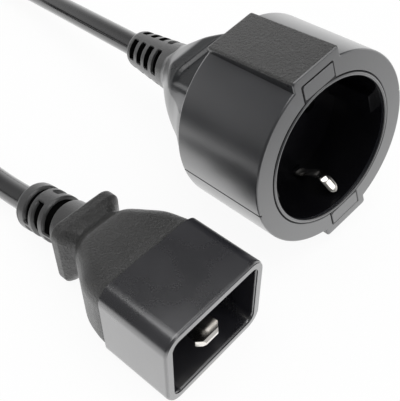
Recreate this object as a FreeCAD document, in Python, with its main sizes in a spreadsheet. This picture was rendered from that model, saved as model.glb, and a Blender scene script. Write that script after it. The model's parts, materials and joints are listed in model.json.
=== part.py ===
"""Adapter lead of a rack power distribution unit, in millimetres.

One end is an in-line C20 plug, whose three blades mate with a C19 connector.
The other end is an in-line earthed round socket. Both are moulded on one cord.
+X points out of the plug's mouth and +Z up. The origin lies on the table, under
the middle of the plug.
"""
import FreeCAD, Part
import Sketcher
import math
import os
from types import SimpleNamespace

Vector = FreeCAD.Vector
Rotation = FreeCAD.Rotation
Placement = FreeCAD.Placement

X_AXIS = Vector(1, 0, 0)
Y_AXIS = Vector(0, 1, 0)
Z_AXIS = Vector(0, 0, 1)
BACKWARDS = Rotation(Y_AXIS, -90)    # turns a primitive's own Z axis to face -X
MIDDLE = 0.0                         # on the axis of a turned piece
MOUTH = 0.0                          # in the plane of an end's mouth
CLEAR = 1.0                          # how far a cutter runs past what it cuts

# ---------------------------------------------------------------- driving dimensions

SIZES = {
    # shroud of the plug: a rounded sleeve of even wall, open at the mouth
    "cavity_width": 28.8,
    "cavity_height": 20.8,
    "cavity_corner": 2.2,
    "cavity_depth": 20.3,
    "shroud_wall": 2.3,
    "rim_round": 0.8,
    "shroud_length": 20.8,
    # the step and the pin carrier that the over-mould grips
    "step_wall": 0.9,
    "step_back": 23.0,
    "carrier_width": 26.0,
    "carrier_height": 17.0,
    "carrier_back": 28.0,
    # blades, 8 x 2 mm
    "blade_width": 8.0,
    "blade_thickness": 2.0,
    "blade_bevel": 0.6,
    "live_corner": 1.0,
    "earth_corner": 1.9,
    "live_spread": 6.5,
    "live_height": 4.0,
    "earth_height": -4.0,
    "live_tip": 5.5,
    "earth_tip": 1.2,
    "blade_back": 29.5,
    "barrel_radius": 1.9,
    "barrel_bore": 1.0,
    "barrel_back": 34.5,
    "barrel_spread": 4.5,
    # over-mould of the plug: it starts a step inside the shroud and narrows to the waist
    "grip_side_step": 0.4,
    "grip_top_step": 0.6,
    "grip_corner": 5.5,
    "shoulder_at": 24.0,
    "shoulder_across": 0.997,
    "shoulder_up": 0.959,
    "flank_at": 28.5,
    "flank_across": 0.923,
    "flank_up": 0.942,
    "taper_at": 32.5,
    "taper_across": 0.779,
    "taper_up": 0.917,
    "heel_at": 36.6,
    "heel_across": 0.62,
    "heel_up": 0.86,
    "waist_at": 39.4,
    "waist_width": 15.6,
    "waist_height": 17.0,
    "collar_front": 42.0,
    "collar_back": 46.0,
    "collar_width": 20.6,
    "collar_height": 20.2,
    "collar_corner": 3.4,
    "collar_round": 0.8,
    # strain relief of the plug, which dips towards the table
    "relief_rise": 0.5,
    "relief_tilt": 11.5,
    "relief_length": 21.2,
    "relief_radius": 7.0,
    "relief_round": 1.4,
    "sleeve_radius": 5.0,
    "relief_root": 3.0,
    "slot_one_at": 5.4,
    "slot_one_width": 3.2,
    "slot_two_at": 10.8,
    "slot_two_width": 2.6,
    "slot_three_at": 15.1,
    "slot_three_width": 1.6,
    "slot_wide_angle": 170.0,
    "slot_side_angle": 140.0,
    # cord and cores
    "cord_diameter": 7.6,
    "core_diameter": 2.8,
    "core_gap": 0.05,
    "plug_core_out": 2.6,
    "plug_core_in": 3.2,
    "socket_core_out": 3.0,
    "socket_core_in": 4.0,
    "sheath_start": 2.0,
    "plug_straight": 15.0,
    "socket_straight": 47.0,
    # round socket: mouth, ring and keyed blocks
    "socket_radius_front": 26.3,
    "socket_radius_rear": 26.9,
    "socket_length": 29.7,
    "block_width_front": 15.4,
    "block_height_front": 56.0,
    "block_width_rear": 15.8,
    "block_height_rear": 54.8,
    "shoulder_radius": 24.0,
    "shoulder_back": 33.0,
    "neck_radius": 9.6,
    "neck_front": 46.0,
    "socket_collar_front": 51.0,
    "socket_collar_back": 55.0,
    "socket_collar_width": 20.2,
    "socket_collar_corner": 5.0,
    "tail_radius": 8.7,
    "tail_front_radius": 8.0,
    "tail_front": 62.0,
    "tail_end_radius": 6.1,
    "tail_back": 84.5,
    "tail_round": 1.2,
    "tail_slot_at": 66.2,
    "tail_slot_pitch": 4.45,
    "tail_slot_width": 2.1,
    "tail_slot_angle": 60.0,
    "tail_slot_middle": 45.0,
    # insert of the socket
    "well_radius": 19.75,
    "well_depth": 17.5,
    "insert_radius": 20.8,
    "insert_back": 24.0,
    "tab_width": 10.4,
    "tab_height": 50.4,
    "tab_depth": 3.0,
    "key_reach": 17.5,
    "key_width": 6.0,
    "key_front": 3.0,
    "key_root": 0.5,
    "hole_radius": 2.8,
    "hole_spread": 9.5,
    "hole_depth": 1.2,
    "tower_radius": 4.6,
    "tower_back": 36.5,
    "cover_radius": 18.0,
    "cover_back": 27.0,
    # contacts of the socket
    "contact_radius": 3.4,
    "contact_bore": 2.4,
    "contact_end_wall": 1.0,
    "contact_tail_back": 42.0,
    "strap_width": 3.2,
    "strap_thickness": 0.8,
    "strap_half_height": 19.2,
    "clip_bump_at": 6.4,
    "clip_bump_height": 15.6,
    "clip_tip_at": 1.6,
    "clip_tip_height": 18.4,
    "earth_tail_height": -4.5,
    "earth_tail_back": 33.0,
    # where the socket lies: it rests on its rear lower corner, mouth up, turned and rolled
    "socket_x": -4.6,
    "socket_y": 50.1,
    "socket_z": 19.8,
    "socket_yaw": -8.95,
    "socket_lift": 8.22,
    "socket_roll": 14.5,
    # put-away coil of the cord
    "coil_x": -152.5,
    "coil_y": 8.0,
    "coil_radius": 40.0,
    "coil_entry_angle": -64.0,
    "coil_ramp_angle": 12.0,
    "coil_ramp_end": -28.0,
    "coil_exit_angle": -180.0,
}


class Size(float):
    """A number that remembers the sheet formula which gives it."""

    def __new__(cls, value, formula):
        number = float.__new__(cls, value)
        number.formula = formula
        return number

    def __add__(self, other):
        return Size(float(self) + float(other), f"({self.formula} + {formula_of(other)})")

    def __sub__(self, other):
        return Size(float(self) - float(other), f"({self.formula} - {formula_of(other)})")

    def __mul__(self, other):
        return Size(float(self) * float(other), f"({self.formula} * {formula_of(other)})")

    def __truediv__(self, other):
        return Size(float(self) / float(other), f"({self.formula} / {formula_of(other)})")

    def __neg__(self):
        return Size(-float(self), f"(-1 * {self.formula})")


def formula_of(number):
    return number.formula if isinstance(number, Size) else repr(float(number))


def cosine(angle):
    return Size(math.cos(math.radians(angle)), f"cos({angle.formula})")


def sine(angle):
    return Size(math.sin(math.radians(angle)), f"sin({angle.formula})")


doc = FreeCAD.newDocument("adapter_lead")
sheet = doc.addObject("Spreadsheet::Sheet", "sizes")
for row, (alias, number) in enumerate(SIZES.items(), start=1):
    sheet.set(f"A{row}", alias)
    sheet.set(f"B{row}", str(number))
    sheet.setAlias(f"B{row}", alias)
doc.recompute()
S = SimpleNamespace(**{alias: Size(number, f"sizes.{alias}") for alias, number in SIZES.items()})

# ------------------------------------------------------------------ where things lie

RIM_WIDTH = S.cavity_width + S.shroud_wall * 2
RIM_HEIGHT = S.cavity_height + S.shroud_wall * 2
RIM_CORNER = S.cavity_corner + S.shroud_wall
RELIEF_REACH = ((S.relief_length - S.relief_round) * cosine(S.relief_tilt)
                + (S.relief_radius - S.relief_round) * sine(S.relief_tilt) + S.relief_round)
PLUG_MIDDLE = (S.collar_back + RELIEF_REACH) / 2
PLUG_RISE = RIM_HEIGHT / 2

plug_place = Placement(Vector(PLUG_MIDDLE, 0, PLUG_RISE), Rotation())
relief_place = plug_place * Placement(
    Vector(-S.collar_back, 0, S.relief_rise), Rotation(Y_AXIS, -S.relief_tilt))
socket_place = plug_place * Placement(
    Vector(S.socket_x, S.socket_y, S.socket_z),
    Rotation(S.socket_yaw, -S.socket_lift, S.socket_roll))


# --------------------------------------------------------------------- small helpers

def bind(thing, prop, number):
    """Bind one property to the sheet."""
    thing.setExpression(prop, formula_of(number))


def primitive(kind, name, place=None, **dimensions):
    """A Part primitive whose dimensions are bound to the sheet."""
    thing = doc.addObject(f"Part::{kind}", name)
    for prop, number in dimensions.items():
        setattr(thing, prop, float(number))
        bind(thing, prop, number)
    if place is not None:
        thing.Placement = place
    return thing


def lying_cylinder(name, place, front, back, radius, y=0.0, z=0.0, angle=None, first_angle=0.0):
    """A cylinder along -X from front to back, both measured backwards from the mouth.

    Angles run from +Z towards +Y.
    """
    dimensions = {"Radius": radius, "Height": back - front}
    if angle is not None:
        dimensions["Angle"] = angle
    turn = BACKWARDS * Rotation(Z_AXIS, float(first_angle))
    return primitive("Cylinder", name, place * Placement(Vector(-front, y, z), turn), **dimensions)


def combine(kind, name, shapes):
    """A fusion of several shapes."""
    thing = doc.addObject(f"Part::{kind}", name)
    thing.Shapes = shapes
    return thing


def cut(name, base, tool):
    thing = doc.addObject("Part::Cut", name)
    thing.Base = base
    thing.Tool = tool
    return thing


def new_body(name, place):
    body = doc.addObject("PartDesign::Body", name)
    body.Label = name
    body.Placement = place
    return body


def sketch_on(body, name, plane, offset=None):
    """A sketch on one of the body's own planes, moved along the plane's normal."""
    sketch = body.newObject("Sketcher::SketchObject", name)
    support = [item for item in body.Origin.OriginFeatures if item.Role == plane][0]
    sketch.AttachmentSupport = (support, "")
    sketch.MapMode = "FlatFace"
    if offset is not None:
        bind(sketch, "AttachmentOffset.Base.z", offset)
    return sketch


def dimension(sketch, name, kind, *where):
    """Add a dimensional constraint, whose last argument is its size, and bind it."""
    number = where[-1]
    index = sketch.addConstraint(Sketcher.Constraint(kind, *where[:-1], float(number)))
    if isinstance(number, Size):
        sketch.renameConstraint(index, name)
        bind(sketch, f"Constraints.{name}", number)


def draw_rounded(sketch, width, height, corner):
    """A rectangle with round corners, centred on the sketch's origin."""
    half_width = float(width) / 2
    half_height = float(height) / 2
    in_width = half_width - float(corner)
    in_height = half_height - float(corner)
    sides = [
        ((-in_width, half_height), (in_width, half_height)),
        ((half_width, in_height), (half_width, -in_height)),
        ((in_width, -half_height), (-in_width, -half_height)),
        ((-half_width, -in_height), (-half_width, in_height)),
    ]
    for start, end in sides:
        sketch.addGeometry(Part.LineSegment(Vector(*start), Vector(*end)), False)
    centres = [(in_width, in_height, 0), (in_width, -in_height, 270),
               (-in_width, -in_height, 180), (-in_width, in_height, 90)]
    for x, y, first in centres:
        circle = Part.Circle(Vector(x, y), Z_AXIS, float(corner))
        start = math.radians(first)
        sketch.addGeometry(Part.ArcOfCircle(circle, start, start + math.pi / 2), False)
    for side in range(4):
        arc = side + 4
        following = (side + 1) % 4
        sketch.addConstraint(Sketcher.Constraint("Tangent", side, 2, arc, 2))
        sketch.addConstraint(Sketcher.Constraint("Tangent", arc, 1, following, 1))
    for side in (0, 2):
        sketch.addConstraint(Sketcher.Constraint("Horizontal", side))
        sketch.addConstraint(Sketcher.Constraint("Vertical", side + 1))
    for arc in (5, 6, 7):
        sketch.addConstraint(Sketcher.Constraint("Equal", 4, arc))
    sketch.addConstraint(Sketcher.Constraint("Symmetric", 4, 3, 6, 3, -1, 1))
    dimension(sketch, "width", "DistanceX", 3, 1, 1, 1, width)
    dimension(sketch, "height", "DistanceY", 2, 1, 0, 1, height)
    dimension(sketch, "corner", "Radius", 4, corner)


def draw_rectangle(sketch, width, height, y=0.0, z=0.0):
    """A rectangle of a given size round the point (y, z)."""
    left = float(y) - float(width) / 2
    right = float(y) + float(width) / 2
    low = float(z) - float(height) / 2
    high = float(z) + float(height) / 2
    corners = [Vector(left, low), Vector(right, low), Vector(right, high), Vector(left, high)]
    for index, corner in enumerate(corners):
        sketch.addGeometry(Part.LineSegment(corner, corners[(index + 1) % 4]), False)
    for index in range(4):
        sketch.addConstraint(Sketcher.Constraint("Coincident", index, 2, (index + 1) % 4, 1))
    for index in (0, 2):
        sketch.addConstraint(Sketcher.Constraint("Horizontal", index))
        sketch.addConstraint(Sketcher.Constraint("Vertical", index + 1))
    dimension(sketch, "width", "DistanceX", 0, 1, 0, 2, width)
    dimension(sketch, "height", "DistanceY", 1, 1, 1, 2, height)
    dimension(sketch, "left", "DistanceX", -1, 1, 0, 1, y - width / 2 if isinstance(y, Size)
              else -(width / 2) + y)
    dimension(sketch, "low", "DistanceY", -1, 1, 0, 1, z - height / 2 if isinstance(z, Size)
              else -(height / 2) + z)


def draw_circle(sketch, radius, y=0.0):
    """A circle on the sketch's horizontal axis."""
    index = sketch.addGeometry(Part.Circle(Vector(y, 0), Z_AXIS, float(radius)), False)
    sketch.addConstraint(Sketcher.Constraint("PointOnObject", index, 3, -1))
    dimension(sketch, f"radius_{index}", "Radius", index, radius)
    if float(y):
        dimension(sketch, f"across_{index}", "DistanceX", -1, 1, index, 3, y)
    else:
        sketch.addConstraint(Sketcher.Constraint("PointOnObject", index, 3, -2))


def draw_outline(sketch, corners):
    """A closed outline of straight sides, each corner placed from the origin."""
    points = [Vector(x, y) for x, y in corners]
    count = len(points)
    for index in range(count):
        sketch.addGeometry(Part.LineSegment(points[index], points[(index + 1) % count]), False)
    for index in range(count):
        sketch.addConstraint(
            Sketcher.Constraint("Coincident", index, 2, (index + 1) % count, 1))
    for index, (x, y) in enumerate(corners):
        dimension(sketch, f"along_{index}", "DistanceX", -1, 1, index, 1, x)
        dimension(sketch, f"out_{index}", "DistanceY", -1, 1, index, 1, y)


def extrude(body, kind, name, sketch, length, backwards=False):
    """A Pad or a Pocket of a sketch."""
    feature = body.newObject(f"PartDesign::{kind}", name)
    feature.Profile = sketch
    bind(feature, "Length", length)
    feature.Reversed = backwards
    doc.recompute()
    return feature


def revolve(body, name, sketch):
    """A full turn of an outline about the body's X axis."""
    feature = body.newObject("PartDesign::Revolution", name)
    feature.Profile = sketch
    feature.ReferenceAxis = (sketch, ["H_Axis"])
    feature.Angle = 360.0
    doc.recompute()
    return feature


def loft(body, name, sections):
    """An additive loft through sketches, front to back."""
    feature = body.newObject("PartDesign::AdditiveLoft", name)
    feature.Profile = sections[0]
    feature.Sections = sections[1:]
    doc.recompute()
    return feature


def edges_on(feature, x, low=0.0, high=1e9):
    """Names of the edges lying in the plane at x whose reach from the axis is in range."""
    names = []
    for index, edge in enumerate(feature.Shape.Edges, start=1):
        box = edge.BoundBox
        flat = abs(box.XMin - x) < 1e-4 and abs(box.XMax - x) < 1e-4
        reach = max(abs(box.YMin), abs(box.YMax), abs(box.ZMin), abs(box.ZMax))
        if flat and low <= reach <= high:
            names.append(f"Edge{index}")
    return names


def upright_edges_at(feature, x):
    """Names of the edges along Z in the plane at x."""
    return [name for name in edges_on(feature, x)
            if feature.Shape.getElement(name).BoundBox.YLength < 1e-4]


def level_edges_at(feature, x):
    """Names of the edges along Y in the plane at x."""
    return [name for name in edges_on(feature, x)
            if feature.Shape.getElement(name).BoundBox.ZLength < 1e-4]


def soften(body, kind, name, base, edges, amount):
    """A Fillet or a Chamfer on named edges."""
    feature = body.newObject(f"PartDesign::{kind}", name)
    feature.Base = (base, edges)
    bind(feature, "Radius" if kind == "Fillet" else "Size", amount)
    doc.recompute()
    return feature


def tube(points, radius):
    """A round tube: straight runs joined by tangent arcs. Returns its shape and length."""
    places = [Vector(*point) for point in points]
    edges = []
    last = places[0]
    radii = []
    for before, corner, after in zip(places, places[1:], places[2:]):
        into = corner - before
        out = after - corner
        turn = into.getAngle(out)
        reach = 0.45 * min(into.Length, out.Length)
        start = corner - into.normalize() * reach
        end = corner + out.normalize() * reach
        radii.append(reach / math.tan(turn / 2))
        inward = (out - into).normalize()
        middle = corner + inward * radii[-1] * (1 / math.cos(turn / 2) - 1)
        edges.append(Part.LineSegment(last, start).toShape())
        edges.append(Part.Arc(start, middle, end).toShape())
        last = end
    edges.append(Part.LineSegment(last, places[-1]).toShape())
    path = Part.Wire(edges)
    first_way = (places[1] - places[0]).normalize()
    section = Part.Wire(Part.makeCircle(radius, places[0], first_way))
    return path.makePipeShell([section], True, True), path.Length, radii


def feature_from(name, shape, place):
    thing = doc.addObject("Part::Feature", name)
    thing.Label = name
    thing.Shape = shape
    thing.Placement = place
    return thing


NODES = {}


def keep(thing, name):
    """Name a finished piece and list it."""
    thing.Label = name
    NODES[name] = thing
    return thing


# ------------------------------------------------------------------------- the plug

def make_pin(name, tip, spread, height, barrel_spread, corner):
    """A blade with cut corners, a bevelled tip and a crimp barrel in one piece."""
    body = new_body(name, plug_place)
    blade = sketch_on(body, name + "_blade", "YZ_Plane", -tip)
    draw_rectangle(blade, S.blade_width, S.blade_thickness, spread, height)
    pad = extrude(body, "Pad", name + "_pad", blade, S.blade_back - tip, backwards=True)
    corners = upright_edges_at(pad, -float(tip))
    pad = soften(body, "Chamfer", name + "_corners", pad, corners, corner)
    front = level_edges_at(pad, -float(tip))
    soften(body, "Chamfer", name + "_bevel", pad, front, S.blade_bevel)
    barrel = sketch_on(body, name + "_barrel", "YZ_Plane", -S.blade_back)
    ring_centre = (barrel_spread, height)
    draw_ring(barrel, S.barrel_radius, ring_centre)
    extrude(body, "Pad", name + "_barrel_pad", barrel, S.barrel_back - S.blade_back,
            backwards=True)
    bore = sketch_on(body, name + "_bore", "YZ_Plane", -S.barrel_back)
    draw_ring(bore, S.barrel_bore, ring_centre)
    bore_pocket = extrude(body, "Pocket", name + "_bore_pocket", bore,
                          S.barrel_back - S.blade_back, backwards=True)
    body.Tip = bore_pocket
    return keep(body, name)


def draw_ring(sketch, radius, centre):
    """A circle at a bound place."""
    y, z = centre
    index = sketch.addGeometry(Part.Circle(Vector(y, z), Z_AXIS, float(radius)), False)
    dimension(sketch, "radius", "Radius", index, radius)
    if float(y):
        dimension(sketch, "across", "DistanceX", -1, 1, index, 3, y)
    else:
        sketch.addConstraint(Sketcher.Constraint("PointOnObject", index, 3, -2))
    dimension(sketch, "up", "DistanceY", -1, 1, index, 3, z)


def make_shroud():
    """The sleeve round the blades, its step and the pin carrier, with blade slots."""
    body = new_body("plug_shroud_solid", plug_place)
    mouth = sketch_on(body, "shroud_mouth", "YZ_Plane")
    draw_rounded(mouth, RIM_WIDTH, RIM_HEIGHT, RIM_CORNER)
    extrude(body, "Pad", "shroud_pad", mouth, S.shroud_length, backwards=True)
    step = sketch_on(body, "shroud_step", "YZ_Plane")
    draw_rounded(step, S.cavity_width + S.step_wall * 2, S.cavity_height + S.step_wall * 2,
                 S.cavity_corner + S.step_wall)
    extrude(body, "Pad", "shroud_step_pad", step, S.step_back, backwards=True)
    carrier = sketch_on(body, "shroud_carrier", "YZ_Plane")
    draw_rounded(carrier, S.carrier_width, S.carrier_height, S.cavity_corner)
    extrude(body, "Pad", "shroud_carrier_pad", carrier, S.carrier_back, backwards=True)
    cavity = sketch_on(body, "shroud_cavity", "YZ_Plane")
    draw_rounded(cavity, S.cavity_width, S.cavity_height, S.cavity_corner)
    hollow = extrude(body, "Pocket", "shroud_hollow", cavity, S.cavity_depth)
    rim = edges_on(hollow, 0.0)
    body.Tip = soften(body, "Fillet", "shroud_rim", hollow, rim, S.rim_round)
    return body


def make_grip():
    """The tapering hand grip, its waist, the cove and the collar of the over-mould."""
    body = new_body("plug_grip", plug_place)
    width = RIM_WIDTH - S.grip_side_step * 2
    height = RIM_HEIGHT - S.grip_top_step * 2
    stations = [
        ("front", S.shroud_length, width, height, S.grip_corner),
        ("shoulder", S.shoulder_at, width * S.shoulder_across, height * S.shoulder_up,
         S.grip_corner),
        ("flank", S.flank_at, width * S.flank_across, height * S.flank_up, S.grip_corner),
        ("taper", S.taper_at, width * S.taper_across, height * S.taper_up, S.grip_corner),
        ("heel", S.heel_at, width * S.heel_across, height * S.heel_up, S.grip_corner),
        ("waist", S.waist_at, S.waist_width, S.waist_height, S.collar_corner),
        ("flare", S.collar_front, S.collar_width, S.collar_height, S.collar_corner),
    ]
    sections = []
    for name, at, across, up, corner in stations:
        sketch = sketch_on(body, "grip_" + name, "YZ_Plane", -at)
        draw_rounded(sketch, across, up, corner)
        sections.append(sketch)
    loft(body, "grip_loft", sections)
    collar = sketch_on(body, "grip_collar", "YZ_Plane", -S.collar_front)
    draw_rounded(collar, S.collar_width, S.collar_height, S.collar_corner)
    pad = extrude(body, "Pad", "grip_collar_pad", collar, S.collar_back - S.collar_front,
                  backwards=True)
    back = edges_on(pad, -float(S.collar_back))
    body.Tip = soften(body, "Fillet", "grip_collar_round", pad, back, S.collar_round)
    return body


def make_slots(name, place, slots, sleeve_radius, outer_radius):
    """Cutting rings for a strain relief, down to its inner sleeve.

    Each slot is (front, width, middle angle, spread angle).
    """
    sectors = []
    for index, (front, width, middle, spread) in enumerate(slots):
        sectors.append(lying_cylinder(
            f"{name}_sector_{index}", place, front, front + width, outer_radius + CLEAR,
            angle=spread, first_angle=middle - float(spread) / 2))
    rings = combine("MultiFuse", name + "_sectors", sectors)
    first_front = slots[0][0]
    last_back = slots[-1][0] + slots[-1][1]
    sleeve = lying_cylinder(name + "_sleeve", place, first_front - CLEAR, last_back + CLEAR,
                            sleeve_radius)
    return cut(name + "_slots", rings, sleeve)


def make_plug_relief():
    """The plug's slotted strain relief: a sleeve on the cord with slotted outer rings."""
    body = new_body("plug_relief_solid", relief_place)
    profile = sketch_on(body, "relief_profile", "XZ_Plane")
    draw_outline(profile, [
        (S.relief_root, MIDDLE),
        (S.relief_root, S.relief_radius),
        (-S.relief_length, S.relief_radius),
        (-S.relief_length, MIDDLE),
    ])
    turned = revolve(body, "relief_turned", profile)
    end = edges_on(turned, -float(S.relief_length))
    body.Tip = soften(body, "Fillet", "relief_end", turned, end, S.relief_round)
    top, side, bottom, far_side = 0.0, 90.0, 180.0, 270.0
    slots = []
    for middle in (top, bottom):
        slots.append((S.slot_one_at, S.slot_one_width, middle, S.slot_wide_angle))
    for middle in (side, far_side):
        slots.append((S.slot_two_at, S.slot_two_width, middle, S.slot_side_angle))
    for middle in (top, bottom):
        slots.append((S.slot_three_at, S.slot_three_width, middle, S.slot_wide_angle))
    cutter = make_slots("relief", relief_place, slots, S.sleeve_radius, S.relief_radius)
    return cut("plug_relief", body, cutter)


# the three cores lie against each other in the sheath, at these angles round its middle
TREFOIL = {"line": 30.0, "neutral": 150.0, "earth": 270.0}


def trefoil_place(name):
    """Where a core stands across the sheath: sideways and up."""
    angle = math.radians(TREFOIL[name])
    reach = (S.core_diameter + S.core_gap) / math.sqrt(3)
    return (reach * math.cos(angle), reach * math.sin(angle))


def make_core(label, place, points, conductor_length):
    """An insulated core, with its bare strands ahead of it in the crimp barrel."""
    radius = float(S.core_diameter) / 2
    start = Part.Wire(Part.makeCircle(radius, Vector(*points[0]), X_AXIS))
    path = Part.makePolygon([Vector(*point) for point in points])
    solid, frenet, mitred = True, False, 1
    insulation = path.makePipeShell([start], solid, frenet, mitred)
    strands = Part.makeCylinder(float(S.barrel_bore), float(conductor_length),
                                Vector(*points[0]), X_AXIS)
    return keep(feature_from(label, insulation.fuse(strands).removeSplitter(), place), label)


def make_plug_cores():
    """Three cores from the crimp barrels to the sheath inside the strain relief."""
    tilt = Rotation(Y_AXIS, -float(S.relief_tilt))
    sheath_face = Placement(Vector(-S.collar_back, 0, S.relief_rise), tilt)
    grip_length = S.barrel_back - S.blade_back
    starts = {
        "line": (S.barrel_spread, S.live_height),
        "neutral": (-S.barrel_spread, S.live_height),
        "earth": (0.0, S.earth_height),
    }
    for name, (y, z) in starts.items():
        sideways, up = trefoil_place(name)
        last = sheath_face.multVec(Vector(S.sheath_start, sideways, up))
        near = sheath_face.multVec(Vector(S.sheath_start + S.plug_core_in, sideways, up))
        first = (-S.barrel_back, y, z)
        out = (-S.barrel_back - S.plug_core_out, y, z)
        make_core(f"plug_{name}_core", plug_place, [first, out, near, last], grip_length)


def make_plug():
    make_pin("plug_line_pin", S.live_tip, S.live_spread, S.live_height, S.barrel_spread,
             S.live_corner)
    make_pin("plug_neutral_pin", S.live_tip, -S.live_spread, S.live_height, -S.barrel_spread,
             S.live_corner)
    make_pin("plug_earth_pin", S.earth_tip, 0.0, S.earth_height, 0.0, S.earth_corner)
    pins = [NODES["plug_line_pin"], NODES["plug_neutral_pin"], NODES["plug_earth_pin"]]
    make_plug_cores()
    cord_end = keep(lying_cylinder(
        "plug_cord_end", relief_place, -S.sheath_start, S.relief_length,
        S.cord_diameter / 2), "plug_cord_end")
    shroud_solid = make_shroud()
    keep(cut("plug_shroud", shroud_solid, combine("MultiFuse", "pins", pins)), "plug_shroud")
    cores = [NODES[f"plug_{name}_core"] for name in TREFOIL]
    outside = combine("MultiFuse", "plug_mould", [make_grip(), make_plug_relief()])
    inside = combine("MultiFuse", "plug_inside", [shroud_solid, cord_end] + pins + cores)
    keep(cut("plug_overmould", outside, inside), "plug_overmould")


# ----------------------------------------------------------------------- the socket

def make_insert():
    """The well of the socket, its keys, tabs, pin holes and contact towers."""
    body = new_body("socket_insert_solid", socket_place)
    cup = sketch_on(body, "insert_cup", "YZ_Plane")
    draw_circle(cup, S.insert_radius)
    extrude(body, "Pad", "insert_cup_pad", cup, S.insert_back, backwards=True)
    tabs = sketch_on(body, "insert_tabs", "YZ_Plane")
    draw_rectangle(tabs, S.tab_width, S.tab_height)
    extrude(body, "Pad", "insert_tab_pad", tabs, S.tab_depth, backwards=True)
    towers = sketch_on(body, "insert_towers", "YZ_Plane", -S.insert_back)
    for side in (1, -1):
        draw_circle(towers, S.tower_radius, S.hole_spread * side)
    extrude(body, "Pad", "insert_tower_pad", towers, S.tower_back - S.insert_back,
            backwards=True)
    well = sketch_on(body, "insert_well", "YZ_Plane")
    draw_circle(well, S.well_radius)
    extrude(body, "Pocket", "insert_well_pocket", well, S.well_depth)
    key = sketch_on(body, "insert_key", "YZ_Plane", -S.well_depth)
    key_depth = S.well_radius - S.key_reach + S.key_root
    draw_rectangle(key, key_depth, S.key_width, S.key_reach + key_depth / 2, 0.0)
    key_pad = extrude(body, "Pad", "insert_key_pad", key, S.well_depth - S.key_front)
    pair = body.newObject("PartDesign::PolarPattern", "insert_key_pair")
    pair.Originals = [key_pad]
    pair.Axis = ([item for item in body.Origin.OriginFeatures if item.Role == "X_Axis"][0], [""])
    pair.Angle = 360.0
    pair.Occurrences = 2
    body.Tip = pair
    doc.recompute()
    holes = sketch_on(body, "insert_holes", "YZ_Plane", -S.well_depth)
    for side in (1, -1):
        draw_circle(holes, S.hole_radius, S.hole_spread * side)
    extrude(body, "Pocket", "insert_hole_pocket", holes, S.hole_depth)
    chambers = sketch_on(body, "insert_chambers", "YZ_Plane", -S.tower_back)
    for side in (1, -1):
        draw_circle(chambers, S.contact_radius, S.hole_spread * side)
    chamber_depth = S.tower_back - S.well_depth - S.hole_depth
    body.Tip = extrude(body, "Pocket", "insert_chamber_pocket", chambers, chamber_depth,
                       backwards=True)
    return body


def make_contact(name, side):
    """A sleeve that grips a round pin, with a crimp barrel behind it."""
    body = new_body(name, socket_place)
    front = S.well_depth + S.hole_depth
    sleeve = sketch_on(body, name + "_sleeve", "YZ_Plane", -front)
    draw_circle(sleeve, S.contact_radius, S.hole_spread * side)
    extrude(body, "Pad", name + "_sleeve_pad", sleeve, S.tower_back - front, backwards=True)
    tail = sketch_on(body, name + "_tail", "YZ_Plane", -S.tower_back)
    draw_circle(tail, S.barrel_radius, S.hole_spread * side)
    extrude(body, "Pad", name + "_tail_pad", tail, S.contact_tail_back - S.tower_back,
            backwards=True)
    bore = sketch_on(body, name + "_bore", "YZ_Plane", -front)
    draw_circle(bore, S.contact_bore, S.hole_spread * side)
    extrude(body, "Pocket", name + "_bore_pocket", bore,
            S.tower_back - front - S.contact_end_wall)
    crimp = sketch_on(body, name + "_crimp", "YZ_Plane", -S.contact_tail_back)
    draw_circle(crimp, S.barrel_bore, S.hole_spread * side)
    body.Tip = extrude(body, "Pocket", name + "_crimp_pocket", crimp,
                       S.contact_tail_back - S.tower_back, backwards=True)
    return keep(body, name)


def make_earth_strap():
    """A bent strip with a spring clip at the top and the bottom of the well."""
    body = new_body("socket_earth_strap_solid", socket_place)
    profile = sketch_on(body, "strap_profile", "XZ_Plane")
    thick = S.strap_thickness
    behind = S.insert_back + thick
    outline = []
    for side in (1, -1):
        arm = [
            (-S.insert_back, (S.strap_half_height - thick) * side),
            (-S.clip_bump_at, (S.clip_bump_height - thick) * side),
            (-S.clip_tip_at, (S.clip_tip_height - thick) * side),
            (-S.clip_tip_at, S.clip_tip_height * side),
            (-S.clip_bump_at, S.clip_bump_height * side),
            (-behind, S.strap_half_height * side),
        ]
        outline += arm if side == 1 else arm[::-1]
    draw_outline(profile, outline)
    bent = body.newObject("PartDesign::Pad", "strap_bent")
    bent.Profile = profile
    bind(bent, "Length", S.strap_width)
    bent.Midplane = True
    doc.recompute()
    tail = sketch_on(body, "strap_tail", "YZ_Plane", -behind)
    draw_ring(tail, S.barrel_radius, (0.0, S.earth_tail_height))
    extrude(body, "Pad", "strap_tail_pad", tail, S.earth_tail_back - behind, backwards=True)
    bore = sketch_on(body, "strap_bore", "YZ_Plane", -S.earth_tail_back)
    draw_ring(bore, S.barrel_bore, (0.0, S.earth_tail_height))
    body.Tip = extrude(body, "Pocket", "strap_bore_pocket", bore,
                       S.earth_tail_back - behind, backwards=True)
    return keep(body, "socket_earth_strap")


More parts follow.
